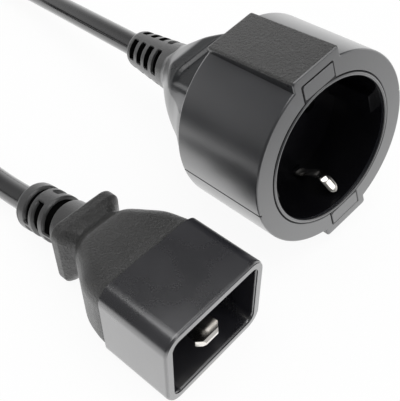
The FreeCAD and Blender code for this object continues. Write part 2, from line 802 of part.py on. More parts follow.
def make_socket_shell():
    """The moulded body: round case, keyed blocks, shoulder, neck, collar and tail."""
    body = new_body("socket_shell", socket_place)
    profile = sketch_on(body, "shell_profile", "XZ_Plane")
    draw_outline(profile, [
        (MOUTH, MIDDLE),
        (MOUTH, S.socket_radius_front),
        (-S.socket_length, S.socket_radius_rear),
        (-S.shoulder_back, S.shoulder_radius),
        (-S.neck_front, S.neck_radius),
        (-S.socket_collar_front, S.neck_radius),
        (-S.socket_collar_front, MIDDLE),
    ])
    case = revolve(body, "shell_case", profile)
    blocks = []
    for name, at, width, height in (
            ("front", MOUTH, S.block_width_front, S.block_height_front),
            ("rear", S.socket_length, S.block_width_rear, S.block_height_rear)):
        sketch = sketch_on(body, "block_" + name, "YZ_Plane", -at)
        draw_rectangle(sketch, width, height)
        blocks.append(sketch)
    loft(body, "shell_blocks", blocks)
    collar = sketch_on(body, "shell_collar", "YZ_Plane", -S.socket_collar_front)
    draw_rounded(collar, S.socket_collar_width, S.socket_collar_width, S.socket_collar_corner)
    extrude(body, "Pad", "shell_collar_pad", collar,
            S.socket_collar_back - S.socket_collar_front, backwards=True)
    tail = sketch_on(body, "shell_tail", "XZ_Plane")
    draw_outline(tail, [
        (-S.socket_collar_front, MIDDLE),
        (-S.socket_collar_front, S.tail_radius),
        (-S.socket_collar_back, S.tail_radius),
        (-S.tail_front, S.tail_front_radius),
        (-S.tail_back, S.tail_end_radius),
        (-S.tail_back, MIDDLE),
    ])
    turned = revolve(body, "shell_tail_turned", tail)
    end = edges_on(turned, -float(S.tail_back))
    rounded = soften(body, "Fillet", "shell_tail_end", turned, end, S.tail_round)
    pocket = sketch_on(body, "shell_pocket", "YZ_Plane")
    draw_circle(pocket, S.insert_radius)
    extrude(body, "Pocket", "shell_insert_pocket", pocket, S.insert_back)
    tabs = sketch_on(body, "shell_tabs", "YZ_Plane")
    draw_rectangle(tabs, S.tab_width, S.tab_height)
    body.Tip = extrude(body, "Pocket", "shell_tab_pocket", tabs, S.tab_depth)
    return body


def make_socket_cores():
    """Three cores from the contacts to the sheath in the socket's tail."""
    sheath_front = S.socket_collar_back + S.sheath_start
    starts = {
        "line": (S.contact_tail_back, S.hole_spread, 0.0, S.contact_tail_back - S.tower_back),
        "neutral": (S.contact_tail_back, -S.hole_spread, 0.0,
                    S.contact_tail_back - S.tower_back),
        "earth": (S.earth_tail_back, 0.0, S.earth_tail_height,
                  S.earth_tail_back - S.insert_back - S.strap_thickness),
    }
    for name, (back, y, z, strands) in starts.items():
        sideways, up = trefoil_place(name)
        points = [
            (-back, y, z),
            (-back - S.socket_core_out, y, z),
            (-sheath_front + S.socket_core_in, sideways, up),
            (-sheath_front, sideways, up),
        ]
        make_core(f"socket_{name}_core", socket_place, points, strands)


def make_socket():
    line = make_contact("socket_line_contact", 1)
    neutral = make_contact("socket_neutral_contact", -1)
    strap = make_earth_strap()
    make_socket_cores()
    cores = [NODES[f"socket_{name}_core"] for name in TREFOIL]
    sheath_front = S.socket_collar_back + S.sheath_start
    cord_end = keep(lying_cylinder("socket_cord_end", socket_place, sheath_front, S.tail_back,
                                   S.cord_diameter / 2), "socket_cord_end")
    insert_solid = make_insert()
    insert = keep(cut("socket_insert", insert_solid, strap), "socket_insert")
    hollows = [lying_cylinder(f"contact_space_{count}", socket_place, S.well_depth,
                              S.tower_back, S.contact_radius, y=float(S.hole_spread) * side)
               for count, side in enumerate((1, -1))]
    disc = lying_cylinder("cover_disc", socket_place, S.insert_back, S.cover_back,
                          S.cover_radius)
    through = combine("MultiFuse", "cover_holes",
                      [insert_solid, strap, NODES["socket_earth_core"]] + hollows)
    cover = keep(cut("socket_back_cover", disc, through), "socket_back_cover")
    slots = []
    for count in range(4):
        front = S.tail_slot_at + S.tail_slot_pitch * count
        for quarter in range(4):
            middle = float(S.tail_slot_middle) + 90 * quarter
            slots.append((front, S.tail_slot_width, middle, S.tail_slot_angle))
    cutter = make_slots("tail", socket_place, slots, S.sleeve_radius, S.tail_front_radius)
    slotted = cut("socket_slotted", make_socket_shell(), cutter)
    inside = combine("MultiFuse", "socket_inside",
                     [insert, cover, line, neutral, strap, cord_end] + cores + hollows)
    keep(cut("socket_overmould", slotted, inside), "socket_overmould")


# ------------------------------------------------------------------------- the cord

TABLE_LEVEL = float(S.cord_diameter) / 2
UPPER_LEVEL = TABLE_LEVEL + float(S.cord_diameter)
COIL_CENTRE = Vector(S.coil_x, S.coil_y, 0)
BEVEL_SHARE = 0.2        # of the cord, taken off each corner of the coil's section


def on_coil(angle, level):
    """A point on the middle line of the coil's turns."""
    way = math.radians(angle)
    return (S.coil_x + S.coil_radius * math.cos(way),
            S.coil_y + S.coil_radius * math.sin(way), level)


# each end of the cord leaves straight out of its strain relief
PLUG_EXIT = relief_place.multVec(Vector(-S.relief_length, 0, 0))
PLUG_STRAIGHT = relief_place.multVec(Vector(-S.relief_length - S.plug_straight, 0, 0))
SOCKET_EXIT = socket_place.multVec(Vector(-S.tail_back, 0, 0))
SOCKET_STRAIGHT = socket_place.multVec(Vector(-S.tail_back - S.socket_straight, 0, 0))

# routes chosen by hand, each from its strain relief to the coil
PLUG_ROUTE = [
    PLUG_EXIT,
    PLUG_STRAIGHT,
    (-69.0, 1.6, 3.8),
    (-102.6, -12.2, 3.8),
    on_coil(S.coil_entry_angle, TABLE_LEVEL),
]
SOCKET_ROUTE = [
    SOCKET_EXIT,
    SOCKET_STRAIGHT,
    (-149.0, 78.2, 5.9),
    (-176.4, 66.0, 4.6),
    (-192.5, 38.5, UPPER_LEVEL),
    on_coil(S.coil_exit_angle, UPPER_LEVEL),
]


def ring_sector(level, first, last):
    """One layer of turns: a bevelled square section swept round the coil."""
    wire = float(S.cord_diameter)
    bevel = wire * BEVEL_SHARE
    low = level - wire / 2
    near = float(S.coil_radius) - wire / 2
    corners = [(bevel, 0), (wire - bevel, 0), (wire, bevel), (wire, wire - bevel),
               (wire - bevel, wire), (bevel, wire), (0, wire - bevel), (0, bevel), (bevel, 0)]
    outline = Part.makePolygon([Vector(near + out, 0, low + up) for out, up in corners])
    sector = Part.Face(outline).revolve(Vector(), Z_AXIS, last - first)
    sector.rotate(Vector(), Z_AXIS, first)
    return sector


def make_coil():
    """The put-away turns: one layer on the table and one on top of it."""
    full = 360.0
    lower = ring_sector(TABLE_LEVEL, float(S.coil_ramp_end) - full, float(S.coil_entry_angle))
    upper = ring_sector(UPPER_LEVEL, float(S.coil_exit_angle), float(S.coil_ramp_angle))
    shape = lower.fuse(upper).removeSplitter()
    coil = feature_from("cord_coil", shape, Placement(COIL_CENTRE, Rotation()))
    return keep(coil, "cord_coil")


def make_run(name, route):
    """A stretch of cord that isn't coiled, as a plain tube."""
    radius = float(S.cord_diameter) / 2
    shape, length, radii = tube(route, radius)
    expected = math.pi * radius ** 2 * length
    print(f"{name}: {length:.1f} long, arc radii", [round(bend, 1) for bend in radii],
          f"volume {shape.Volume / expected:.4f} of section times length")
    return keep(feature_from(name, shape, Placement()), name)


def make_cords():
    """The two free runs of the cord and its coil."""
    make_coil()
    make_run("cord_plug_run", PLUG_ROUTE)
    make_run("cord_socket_run", SOCKET_ROUTE)


# ----------------------------------------------------------------- check and export

def check_document():
    """Stop on any object that failed to rebuild."""
    failed = [item.Name for item in doc.Objects
              if "Invalid" in item.State or "Error" in item.State]
    if failed:
        raise RuntimeError(f"these objects failed: {failed}")


def print_routes():
    """The places that the cord's ends and straight runs take from the strain reliefs."""
    for name, route in (("plug", PLUG_ROUTE), ("socket", SOCKET_ROUTE)):
        print(name, "route", [tuple(round(value, 2) for value in point) for point in route])


def export_parts():
    """Write each finished piece, after checking that it is one valid solid."""
    os.makedirs("parts", exist_ok=True)
    for name, thing in NODES.items():
        shape = thing.Shape
        if shape.isNull() or not shape.isValid() or len(shape.Solids) != 1:
            print(name, shape.isNull(), shape.isValid(), [s.Volume for s in shape.Solids])
            raise RuntimeError(f"{name} is not one valid solid")
        shape.exportStep(f"parts/{name}.step")
        print(f"{name}: {shape.Volume:.1f} mm3")


make_plug()
make_socket()
make_cords()
doc.recompute()
check_document()
print_routes()
export_parts()
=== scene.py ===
import json
import math

import bmesh
import bpy
from mathutils import Matrix, Vector


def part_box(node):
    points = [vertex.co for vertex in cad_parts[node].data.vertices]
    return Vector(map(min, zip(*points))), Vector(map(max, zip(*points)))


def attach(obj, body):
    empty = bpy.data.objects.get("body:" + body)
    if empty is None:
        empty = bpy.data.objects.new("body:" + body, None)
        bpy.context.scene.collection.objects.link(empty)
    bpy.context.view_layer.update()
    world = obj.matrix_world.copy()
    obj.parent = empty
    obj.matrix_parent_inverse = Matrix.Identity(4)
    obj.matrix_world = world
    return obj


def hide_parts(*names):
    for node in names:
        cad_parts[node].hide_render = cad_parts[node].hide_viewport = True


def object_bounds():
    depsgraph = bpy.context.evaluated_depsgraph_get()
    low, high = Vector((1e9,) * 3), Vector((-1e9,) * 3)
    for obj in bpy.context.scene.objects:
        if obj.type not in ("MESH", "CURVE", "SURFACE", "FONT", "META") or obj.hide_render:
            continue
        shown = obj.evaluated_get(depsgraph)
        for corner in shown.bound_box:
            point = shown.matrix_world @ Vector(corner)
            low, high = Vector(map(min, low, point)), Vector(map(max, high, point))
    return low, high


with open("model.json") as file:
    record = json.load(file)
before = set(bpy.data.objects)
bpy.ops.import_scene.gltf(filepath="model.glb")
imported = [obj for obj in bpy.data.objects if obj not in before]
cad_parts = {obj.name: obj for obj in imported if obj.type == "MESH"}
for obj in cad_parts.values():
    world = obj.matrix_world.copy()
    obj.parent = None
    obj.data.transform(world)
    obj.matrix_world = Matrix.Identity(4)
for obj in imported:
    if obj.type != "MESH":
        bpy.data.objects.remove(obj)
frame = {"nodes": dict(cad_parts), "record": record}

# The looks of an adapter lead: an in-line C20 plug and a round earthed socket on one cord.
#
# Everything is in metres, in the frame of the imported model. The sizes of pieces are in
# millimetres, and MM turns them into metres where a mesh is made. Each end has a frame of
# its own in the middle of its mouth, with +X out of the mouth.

MM = 0.001
cad_low, cad_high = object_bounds()


def add_object(name, data):
    """Put a new object with this data into the scene."""
    item = bpy.data.objects.new(name, data)
    bpy.context.scene.collection.objects.link(item)
    return item


def held(value):
    """The value, held between 0 and 1."""
    return min(1.0, max(0.0, value))


def eased(value):
    """The value, held between 0 and 1, with a soft start and a soft end."""
    share = held(value)
    return share * share * (3 - 2 * share)


# ------------------------------------------------------------------------ camera

CAMERA_PLACE = (88.79, -67.83, 145.78)
CAMERA_TILT = 44.2          # from straight down, in degrees
CAMERA_HEADING = 41.49      # round the vertical, from looking along +Y
CAMERA_SENSOR = 36
CAMERA_LENS = 60.6

camera = add_object("camera", bpy.data.cameras.new("camera"))
bpy.context.scene.camera = camera
camera.location = Vector(CAMERA_PLACE) * MM
camera.rotation_euler = (math.radians(CAMERA_TILT), 0, math.radians(CAMERA_HEADING))
camera.data.sensor_width = CAMERA_SENSOR
camera.data.lens = CAMERA_LENS
camera.data.clip_start = 0.01
camera.data.clip_end = 10

# --------------------------------------------------------------- places of the ends

HOLE_BEHIND_MOUTH = 27.0    # middle of a pin hole, behind the socket's mouth
COLLAR_BACK = 46.0          # back of the plug's collar, behind its mouth
RELIEF_RISE = 0.5           # start of the plug's strain relief, above the plug's axis
RELIEF_TILT = 11.5          # how far the plug's strain relief dips, in degrees

mounts = {mount["name"]: mount for mount in frame["record"]["mounts"]}


def plug_frame():
    """The middle of the plug's mouth, +X out of the mouth and +Z up."""
    low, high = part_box("plug_shroud")
    return Matrix.Translation((high.x, (low.y + high.y) / 2, (low.z + high.z) / 2))


def socket_frame():
    """The middle of the socket's mouth, +X out of the mouth and +Y from neutral to line."""
    line = Vector(mounts["line_hole"]["pos_m"])
    neutral = Vector(mounts["neutral_hole"]["pos_m"])
    forward = Vector(mounts["socket_face"]["axis"]).normalized()
    sideways = line - neutral
    sideways = (sideways - forward * sideways.dot(forward)).normalized()
    upward = forward.cross(sideways)
    turn = Matrix((forward, sideways, upward)).transposed().to_4x4()
    mouth = (line + neutral) / 2 + forward * HOLE_BEHIND_MOUTH * MM
    return Matrix.Translation(mouth) @ turn


PLUG = plug_frame()
RELIEF = (PLUG @ Matrix.Translation(Vector((-COLLAR_BACK, 0, RELIEF_RISE)) * MM)
          @ Matrix.Rotation(math.radians(-RELIEF_TILT), 4, "Y"))
SOCKET = socket_frame()

# -------------------------------------------------------------------------- cord

CORD_DIAMETER = 7.6
COIL_CENTRE = (-152.5, 8.0)
COIL_RADIUS = 40.0
COIL_FIRST = -64            # the turns run clockwise between these angles, in degrees
COIL_LAST = -540
CLIMB_FIRST = -348          # where the turns climb on top of each other, in degrees
CLIMB_LAST = -388
COIL_STEP = 17              # between two points of the turns, in degrees
LOW_LEVEL = CORD_DIAMETER / 2
HIGH_LEVEL = LOW_LEVEL + CORD_DIAMETER

# points that the cord passes, from the plug to the coil and from the coil to the socket
PLUG_ROUTE = [
    (-32.81, 0.0, 8.97),
    (-47.51, 0.0, 5.98),
    (-69.0, 1.6, 3.8),
    (-102.6, -12.2, 3.8),
]
SOCKET_ROUTE = [
    (-192.5, 38.5, 11.4),
    (-176.4, 66.0, 4.6),
    (-149.0, 78.2, 5.9),
    (-99.2, 70.35, 13.7),
    (-53.25, 63.11, 20.42),
]


def coil_turns():
    """Points of the put-away turns, which climb once from the table onto themselves."""
    count = round((COIL_FIRST - COIL_LAST) / COIL_STEP)
    reach = COIL_RADIUS / math.cos(math.radians(COIL_STEP / 2))
    centre_x, centre_y = COIL_CENTRE
    points = []
    for index in range(count + 1):
        angle = COIL_FIRST + (COIL_LAST - COIL_FIRST) * index / count
        climbed = held((angle - CLIMB_FIRST) / (CLIMB_LAST - CLIMB_FIRST))
        level = LOW_LEVEL + (HIGH_LEVEL - LOW_LEVEL) * climbed
        way = math.radians(angle)
        points.append((centre_x + reach * math.cos(way), centre_y + reach * math.sin(way), level))
    return points


def make_cord():
    """The whole free cord, from the plug's strain relief to the socket's."""
    curve = bpy.data.curves.new("lead_cord", "CURVE")
    curve.dimensions = "3D"
    curve.bevel_depth = 1.0         # each point's radius gives the real thickness
    curve.bevel_resolution = 10
    curve.resolution_u = 14
    curve.use_fill_caps = True
    points = PLUG_ROUTE + coil_turns() + SOCKET_ROUTE
    spline = curve.splines.new("NURBS")
    spline.points.add(len(points) - 1)
    for point, place in zip(spline.points, points):
        point.co = (*(Vector(place) * MM), 1)
        point.radius = CORD_DIAMETER / 2 * MM
    spline.order_u = 3
    spline.use_endpoint_u = True
    cord = add_object("lead_cord", curve)
    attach(cord, "root")
    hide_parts("cord_coil", "cord_plug_run", "cord_socket_run")
    return cord


lead_cord = make_cord()

# ------------------------------------------------------------------- shader nodes


def feed(tree, socket, value):
    """Set a socket to a number or a colour, or link another socket to it."""
    if isinstance(value, bpy.types.NodeSocket):
        tree.links.new(value, socket)
    elif isinstance(value, tuple):
        socket.default_value = (*value, 1)
    else:
        socket.default_value = value


def place_input(tree, where, kind="Object"):
    """Give a socket the coordinates of each place on the surface."""
    coordinates = tree.nodes.new("ShaderNodeTexCoord")
    tree.links.new(coordinates.outputs[kind], where)


def noise_node(tree, scale, detail, roughness, distortion=0.0):
    """Noise in the object's own coordinates."""
    node = tree.nodes.new("ShaderNodeTexNoise")
    place_input(tree, node.inputs["Vector"])
    feed(tree, node.inputs["Scale"], scale)
    node.inputs["Detail"].default_value = detail
    node.inputs["Roughness"].default_value = roughness
    node.inputs["Distortion"].default_value = distortion
    return node.outputs[0]


def math_node(tree, operation, first, second=None, clamp=False):
    """A Math node; each of its operands is a socket or a number."""
    node = tree.nodes.new("ShaderNodeMath")
    node.operation = operation
    node.use_clamp = clamp
    feed(tree, node.inputs[0], first)
    if second is not None:
        feed(tree, node.inputs[1], second)
    return node.outputs[0]


def range_node(tree, value, low, high, to_low, to_high, smooth=True):
    """Map a value from one range to another, held at the ends."""
    node = tree.nodes.new("ShaderNodeMapRange")
    node.interpolation_type = "SMOOTHSTEP" if smooth else "LINEAR"
    for index, end in enumerate((value, low, high, to_low, to_high)):
        feed(tree, node.inputs[index], end)
    return node.outputs[0]


def blend(tree, kind, mask, first, second):
    """Mix two colours (RGBA) or two values (FLOAT) by a mask."""
    node = tree.nodes.new("ShaderNodeMix")
    node.data_type = kind
    feed(tree, node.inputs["A"], first)
    feed(tree, node.inputs["B"], second)
    tree.links.new(mask, node.inputs["Factor"])
    return node.outputs["Result"]


def new_group(name, inputs, outputs):
    """An empty node group; its inputs are (name, kind, default), its outputs (name, kind)."""
    group = bpy.data.node_groups.new(name, "ShaderNodeTree")
    for label, kind, default in inputs:
        socket = group.interface.new_socket(label, in_out="INPUT", socket_type=kind)
        if default is not None:
            socket.default_value = default
    for label, kind in outputs:
        group.interface.new_socket(label, in_out="OUTPUT", socket_type=kind)
    return group, group.nodes.new("NodeGroupInput"), group.nodes.new("NodeGroupOutput")


def place_group(tree, group, **values):
    """A node of a group, with its own values."""
    node = tree.nodes.new("ShaderNodeGroup")
    node.node_tree = group
    for name, value in values.items():
        node.inputs[name].default_value = value
    return node


# ------------------------------------------------------------ shared shader groups

COARSE_SCALE = 0.37         # of the coarse pits, against the fine ones
COARSE_HEIGHT = 0.6


def make_spark_grain():
    """The fine pitted texture that a spark-eroded mould leaves on plastic."""
    group, into, out = new_group(
        "spark_grain",
        [("Size", "NodeSocketFloat", 3000.0)],
        [("Height", "NodeSocketFloat"), ("Speckle", "NodeSocketFloat")])
    size = into.outputs["Size"]
    pits = noise_node(group, size, detail=3.0, roughness=0.65)
    coarse_size = math_node(group, "MULTIPLY", size, COARSE_SCALE)
    coarse = noise_node(group, coarse_size, detail=2.0, roughness=0.5)
    fine = range_node(group, pits, 0.35, 0.65, 0.0, 1.0)
    height = math_node(group, "ADD", fine, math_node(group, "MULTIPLY", coarse, COARSE_HEIGHT))
    group.links.new(height, out.inputs["Height"])
    group.links.new(fine, out.inputs["Speckle"])
    return group


def make_handling():
    """Soft smudges and faint drag marks from handling."""
    group, into, out = new_group(
        "handling",
        [("Size", "NodeSocketFloat", 90.0), ("Marks", "NodeSocketFloat", 900.0)],
        [("Smudge", "NodeSocketFloat"), ("Scuff", "NodeSocketFloat")])
    cloud = noise_node(group, into.outputs["Size"], detail=2.0, roughness=0.45, distortion=0.25)
    smudge = range_node(group, cloud, 0.25, 0.75, 0.0, 1.0, smooth=False)
    marks = noise_node(group, into.outputs["Marks"], detail=2.0, roughness=0.4)
    scuff = range_node(group, marks, 0.66, 0.74, 0.0, 1.0)
    group.links.new(smudge, out.inputs["Smudge"])
    group.links.new(math_node(group, "MULTIPLY", scuff, smudge), out.inputs["Scuff"])
    return group


def make_edge_highlight():
    """A mask of the outward edges, where a highlight is painted into the colour."""
    group, into, out = new_group(
        "edge_highlight",
        [("From", "NodeSocketFloat", 0.52), ("To", "NodeSocketFloat", 0.62)],
        [("Mask", "NodeSocketFloat")])
    geometry = group.nodes.new("ShaderNodeNewGeometry")
    mask = range_node(group, geometry.outputs["Pointiness"], into.outputs["From"],
                      into.outputs["To"], 0.0, 1.0)
    group.links.new(mask, out.inputs["Mask"])
    return group


SPARK_GRAIN = make_spark_grain()
HANDLING = make_handling()
EDGE_HIGHLIGHT = make_edge_highlight()

# --------------------------------------------------------------------- materials

HIGHLIGHT_LIGHTER = 1.8      # painted highlight on an outward edge, against the lighter mottle
HIGHLIGHT_SHARE = 0.5
CHALK_LIGHTER = 1.15        # drawn insulation, against its own colour
CHALK_WHITE = 0.01
COAT_INDEX = 1.65
FLAT_GRAIN = 0.000004       # depth of a grain too fine to see, in metres


def new_material(name):
    """A material with its Principled shader; returns its tree and the shader too."""
    material = bpy.data.materials.new(name)
    material.use_nodes = True
    tree = material.node_tree
    return material, tree, tree.nodes["Principled BSDF"]


def raise_surface(tree, shader, height, distance, strength=1.0):
    """Feed a height to the shader's normal."""
    bump = tree.nodes.new("ShaderNodeBump")
    bump.inputs["Distance"].default_value = distance
    bump.inputs["Strength"].default_value = strength
    tree.links.new(height, bump.inputs["Height"])
    tree.links.new(bump.outputs[0], shader.inputs["Normal"])


def moulded_plastic(name, dark, light, rough, coat, coat_rough, index, grain=1500.0,
                    grain_depth=FLAT_GRAIN, smudge_size=90.0, speckle=0.04):
    """Black moulded plastic: mottled by handling, with a grain of its own and a painted highlight
    on its outward edges.
    """
    material, tree, shader = new_material(name)
    smudge = place_group(tree, HANDLING, Size=smudge_size).outputs["Smudge"]
    grained = place_group(tree, SPARK_GRAIN, Size=grain)
    edge = place_group(tree, EDGE_HIGHLIGHT).outputs["Mask"]
    mottled = blend(tree, "RGBA", smudge, dark, light)
    # the outward edges are lightened towards this colour: a painted highlight
    highlighted = tuple(channel * HIGHLIGHT_LIGHTER for channel in light)
    colour = blend(tree, "RGBA", math_node(tree, "MULTIPLY", edge, HIGHLIGHT_SHARE), mottled,
                   highlighted)
    tree.links.new(colour, shader.inputs["Base Color"])
    roughness = range_node(tree, smudge, 0.0, 1.0, *rough, smooth=False)
    pitted = math_node(tree, "MULTIPLY", grained.outputs["Speckle"], speckle)
    tree.links.new(math_node(tree, "ADD", roughness, pitted), shader.inputs["Roughness"])
    shader.inputs["IOR"].default_value = index
    shader.inputs["Coat Weight"].default_value = coat
    shader.inputs["Coat IOR"].default_value = COAT_INDEX
    shader.inputs["Coat Roughness"].default_value = coat_rough
    raise_surface(tree, shader, grained.outputs["Height"], grain_depth)
    return material


def plated_metal():
    """Bright nickel plate with fine wipe marks."""
    material, tree, shader = new_material("nickel_plate")
    handling = place_group(tree, HANDLING, Size=260.0, Marks=4000.0)
    smudge = handling.outputs["Smudge"]
    bright = (0.90, 0.88, 0.85)
    wiped = (0.84, 0.81, 0.76)
    tree.links.new(blend(tree, "RGBA", smudge, bright, wiped), shader.inputs["Base Color"])
    shader.inputs["Metallic"].default_value = 1.0
    roughness = range_node(tree, smudge, 0.0, 1.0, 0.12, 0.20)
    tree.links.new(roughness, shader.inputs["Roughness"])
    raise_surface(tree, shader, handling.outputs["Scuff"], 0.00001, 0.3)
    return material


def core_insulation(name, colour):
    """Soft coloured insulation, slightly chalky from its drawing."""
    material, tree, shader = new_material(name)
    smudge = place_group(tree, HANDLING, Size=300.0).outputs["Smudge"]
    pale = tuple(min(1.0, channel * CHALK_LIGHTER + CHALK_WHITE) for channel in colour)
    tree.links.new(blend(tree, "RGBA", smudge, colour, pale), shader.inputs["Base Color"])
    roughness = range_node(tree, smudge, 0.0, 1.0, 0.38, 0.5)
    tree.links.new(roughness, shader.inputs["Roughness"])
    return material


# the smooth mouldings: the plug's shroud, the socket's case and its dome
SHROUD = moulded_plastic(
    "shroud_satin", dark=(0.005, 0.005, 0.008), light=(0.013, 0.013, 0.018),
    rough=(0.24, 0.34), coat=1.0, coat_rough=0.24, index=2.25, smudge_size=60.0, speckle=0.01)
CASE = moulded_plastic(
    "case_satin", dark=(0.006, 0.007, 0.010), light=(0.014, 0.015, 0.020),
    rough=(0.28, 0.38), coat=0.9, coat_rough=0.29, index=2.2, smudge_size=60.0, speckle=0.01)
DOME = moulded_plastic(
    "dome_satin", dark=(0.006, 0.007, 0.010), light=(0.014, 0.015, 0.020),
    rough=(0.30, 0.40), coat=0.6, coat_rough=0.30, index=1.8, smudge_size=60.0, speckle=0.01)
# the grained ones: the plug's grip and the blocks on the socket's case
MOULD = moulded_plastic(
    "overmould_texture", dark=(0.014, 0.014, 0.013), light=(0.026, 0.026, 0.025),
    rough=(0.38, 0.52), coat=0.5, coat_rough=0.36, index=1.9, grain=1700.0,
    grain_depth=0.00050)
BLOCK = moulded_plastic(
    "block_texture", dark=(0.016, 0.016, 0.015), light=(0.028, 0.028, 0.027),
    rough=(0.38, 0.50), coat=0.5, coat_rough=0.36, index=1.92, grain_depth=0.00040)
# the strain reliefs, the insert with its pin holes, and the cord
RELIEF_RUBBER = moulded_plastic(
    "relief_rubber", dark=(0.012, 0.012, 0.013), light=(0.022, 0.022, 0.022),
    rough=(0.34, 0.44), coat=0.6, coat_rough=0.33, index=1.9, grain=2000.0,
    grain_depth=0.00005)
INSERT = moulded_plastic(
    "insert_gloss", dark=(0.003, 0.003, 0.004), light=(0.005, 0.005, 0.006),
    rough=(0.16, 0.22), coat=0.0, coat_rough=0.1, index=1.38, grain=2600.0)
SHEATH = moulded_plastic(
    "sheath_gloss", dark=(0.004, 0.004, 0.005), light=(0.007, 0.007, 0.008),
    rough=(0.16, 0.22), coat=0.5, coat_rough=0.12, index=1.75, speckle=0.01)
# the flats for labels, painted shade on the sides of the blocks, and the floors of the slots in
# painted shade
LABEL_FLAT_AND_WALL_SHADE = moulded_plastic(
    "label_flat_and_wall_shade", dark=(0.004, 0.005, 0.007), light=(0.008, 0.009, 0.011),
    rough=(0.26, 0.34), coat=0.35, coat_rough=0.28, index=1.65, grain_depth=0.00002)
SLOT_SHADE = moulded_plastic(
    "slot_shade", dark=(0.001, 0.001, 0.001), light=(0.002, 0.002, 0.002),
    rough=(0.8, 0.9), coat=0.0, coat_rough=0.5, index=1.15, grain=2000.0,
    grain_depth=0.00002)
NICKEL = plated_metal()
LINE = core_insulation("line_brown", (0.13, 0.045, 0.015))
NEUTRAL = core_insulation("neutral_blue", (0.02, 0.09, 0.35))
EARTH = core_insulation("earth_green_yellow", (0.32, 0.42, 0.03))


def dress(node, material):
    """Give a CAD node its material."""
    for slot in frame["nodes"][node].material_slots:
        slot.material = material


for node in ("plug_line_pin", "plug_neutral_pin", "plug_earth_pin", "socket_line_contact",
             "socket_neutral_contact", "socket_earth_strap"):
    dress(node, NICKEL)
for end in ("plug", "socket"):
    dress(f"{end}_line_core", LINE)
    dress(f"{end}_neutral_core", NEUTRAL)
    dress(f"{end}_earth_core", EARTH)
    dress(f"{end}_cord_end", SHEATH)
dress("plug_shroud", SHROUD)
dress("plug_overmould", MOULD)
dress("socket_overmould", CASE)
dress("socket_insert", INSERT)
dress("socket_back_cover", INSERT)
lead_cord.data.materials.append(SHEATH)

# ------------------------------------------------------------ outlines and skins

ARC_STEPS = 36
BLOCK_STEPS = 5
SEAM_HALF = 0.65            # half the width of a seam, in degrees


def rounded_outline(width, height, corner, steps=10):
    """Points round a rectangle with round corners, in the plane of a mouth."""
    points = []
    quarters = ((1, 1, 0), (-1, 1, 90), (-1, -1, 180), (1, -1, 270))
    for side_y, side_z, first in quarters:
        for step in range(steps + 1):
            way = math.radians(first + 90 * step / steps)
            points.append((side_y * (width / 2 - corner) + corner * math.cos(way),
                           side_z * (height / 2 - corner) + corner * math.sin(way)))
    return points


def drawn_in(size, inset, corner_inset):
    """The outline of a (width, height, corner), smaller by an inset all round."""
    width, height, corner = size
    return rounded_outline(width - inset * 2, height - inset * 2, corner - corner_inset)


def keyed_outline(radius, width, height, corner, seam=0.0):
    """Points round a circle with a rectangular block across it, top and bottom.

    A seam is a fine groove at each side, halfway between the blocks.
    """
    half = width / 2
    reach = height / 2
    meeting = 90 - math.degrees(math.asin(half / radius))
    ways = [-meeting + (meeting - SEAM_HALF) * step / ARC_STEPS for step in range(ARC_STEPS + 1)]
    points = []
    for side in (1, -1):
        for way in ways + [0.0] + [-way for way in reversed(ways)]:
            turned = math.radians(way)
            out = radius - (seam if way == 0.0 else 0.0)
            points.append((side * out * math.cos(turned), side * out * math.sin(turned)))
        for centre, first in ((half - corner, 0), (corner - half, 90)):
            for step in range(BLOCK_STEPS + 1):
                turned = math.radians(first + 90 * step / BLOCK_STEPS)
                points.append((side * (centre + corner * math.cos(turned)),
                               side * (reach - corner + corner * math.sin(turned))))
    return points


def onto_circle(outline, radius):
    """The same number of points, moved onto a circle."""
    return [(y * radius / math.hypot(y, z), z * radius / math.hypot(y, z)) for y, z in outline]


def rounding(amount, steps=4):
    """Pairs of (how far in from the wall, how far behind the face) round an edge."""
    pairs = []
    for step in range(steps + 1):
        way = math.radians(90 * step / steps)
        pairs.append((amount * (1 - math.sin(way)), amount * (1 - math.cos(way))))
    return pairs


def spline_between(stations, steps):
    """Smooth values through stations of (x, values...), with the given steps between two."""
    rows = []
    last = len(stations) - 1
    for index in range(last):
        before = stations[max(index - 1, 0)]
        start = stations[index]
        end = stations[index + 1]
        after = stations[min(index + 2, last)]
        for step in range(steps):
            t = step / steps
            row = []
            for a, b, c, d in zip(before, start, end, after):
                row.append(b + 0.5 * t * (c - a + t * (2 * a - 5 * b + 4 * c - d
                                                       + t * (3 * (b - c) + d - a))))
            rows.append(row)
    rows.append(list(stations[-1]))
    return rows


def skins(strips, place, hollow=False):
    """A mesh with a skin through each strip of rings of points, in a mouth's own frame.

    A hollow skin joins its last ring to its first, round the hole through it. Any other
    is closed with a face at each end.
    """
    mesh = bmesh.new()
    for rings in strips:
        loops = []
        for ring in rings:
            loops.append([mesh.verts.new(place @ (Vector(point) * MM)) for point in ring])
        count = len(loops[0])
        ends = loops[1:] + loops[:1] if hollow else loops[1:]
        for near, far in zip(loops, ends):
            for index in range(count):
                following = (index + 1) % count
                mesh.faces.new((near[index], far[index], far[following], near[following]))
        if not hollow:
            mesh.faces.new(loops[0])
            mesh.faces.new(list(reversed(loops[-1])))
    bmesh.ops.recalc_face_normals(mesh, faces=mesh.faces)
    return mesh


def loft(rings, place, hollow=False):
    """A mesh with one skin through rings of (x, outline)."""
    strip = [[(x, y, z) for y, z in outline] for x, outline in rings]
    return skins([strip], place, hollow)


def finish_piece(name, mesh, materials, angle):
    """Make an object of a mesh, smooth it up to an angle and set it on the root body."""
    data = bpy.data.meshes.new(name)
    for face in mesh.faces:
        face.smooth = True
    limit = math.radians(angle)
    for edge in mesh.edges:
        if len(edge.link_faces) == 2 and edge.calc_face_angle(0.0) > limit:
            edge.smooth = False
    mesh.to_mesh(data)
    mesh.free()
    for material in materials:
        data.materials.append(material)
    piece = add_object(name, data)
    weighted = piece.modifiers.new("even_shading", "WEIGHTED_NORMAL")
    weighted.keep_sharp = True
    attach(piece, "root")
    return piece


# --------------------------------------------------------------- plug's grip and rim

